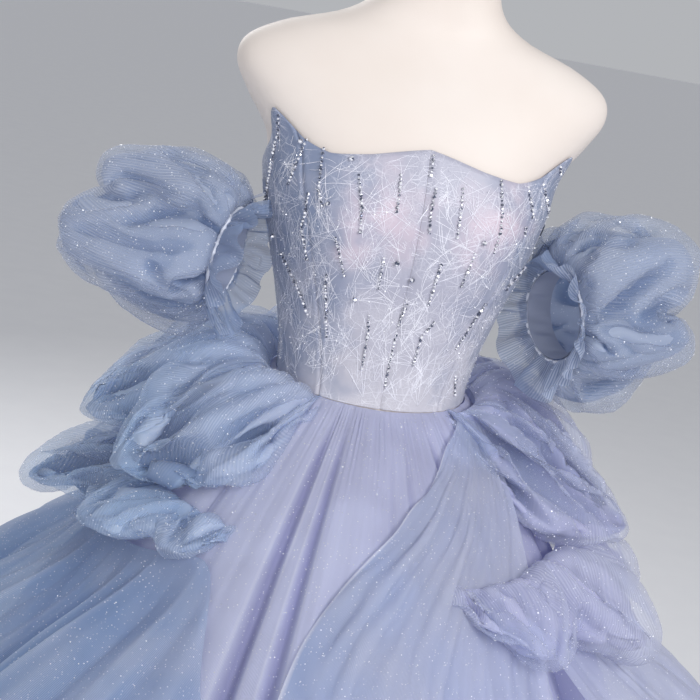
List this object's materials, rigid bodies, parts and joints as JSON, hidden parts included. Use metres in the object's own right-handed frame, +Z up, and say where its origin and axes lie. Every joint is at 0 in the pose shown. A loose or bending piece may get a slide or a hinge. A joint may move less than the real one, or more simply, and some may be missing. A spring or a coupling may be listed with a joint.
{
  "type": "ball gown on a dress form",
  "caption": "Strapless boned bodice with off-shoulder puff sleeves and a full picked-up tulle skirt, shown on a limbless dress form with a round stand.",
  "frame": {"origin": "centre of the stand base's underside, on the floor", "axes": "+Z up; the gown's front faces -Y; +X is the wearer's left"},
  "size_m": [1.45, 1.3881, 1.5263],
  "materials": {
    "form_cream": "smooth cream cover, low sheen",
    "stand_metal": "satin grey",
    "bodice_lace": "embroidered net over a pale lining, with small beads",
    "tulle_blue": "finely pleated glitter tulle, dusty blue",
    "tulle_lilac": "glitter tulle, lilac",
    "band_lining": "lined elastic, grey blue"
  },
  "bodies": {
    "root": {"bodice_back_left": "bodice_lace", "bodice_back_right": "bodice_lace", "bodice_front_left": "bodice_lace", "bodice_front_right": "bodice_lace", "bodice_placket": "bodice_lace", "bodice_side_back_left": "bodice_lace", "bodice_side_back_right": "bodice_lace", "bodice_side_front_left": "bodice_lace", "bodice_side_front_right": "bodice_lace", "form_base": "stand_metal", "form_cap": "stand_metal", "form_pole": "stand_metal", "form_torso": "form_cream", "puff_lower_left": "tulle_blue", "puff_lower_right": "tulle_blue", "puff_upper_left": "tulle_blue", "puff_upper_right": "tulle_blue", "skirt_back": "tulle_lilac", "skirt_drape": "tulle_blue", "skirt_front": "tulle_lilac", "skirt_left": "tulle_lilac", "skirt_over_left": "tulle_blue", "skirt_over_right": "tulle_blue", "skirt_right": "tulle_lilac", "sleeve_band_left": "band_lining", "sleeve_band_right": "band_lining", "sleeve_frill_left": "tulle_blue", "sleeve_frill_right": "tulle_blue", "sleeve_puff_left": "tulle_blue", "sleeve_puff_right": "tulle_blue", "sleeve_tab_left": "band_lining", "sleeve_tab_right": "band_lining"}
  },
  "joints": []
}
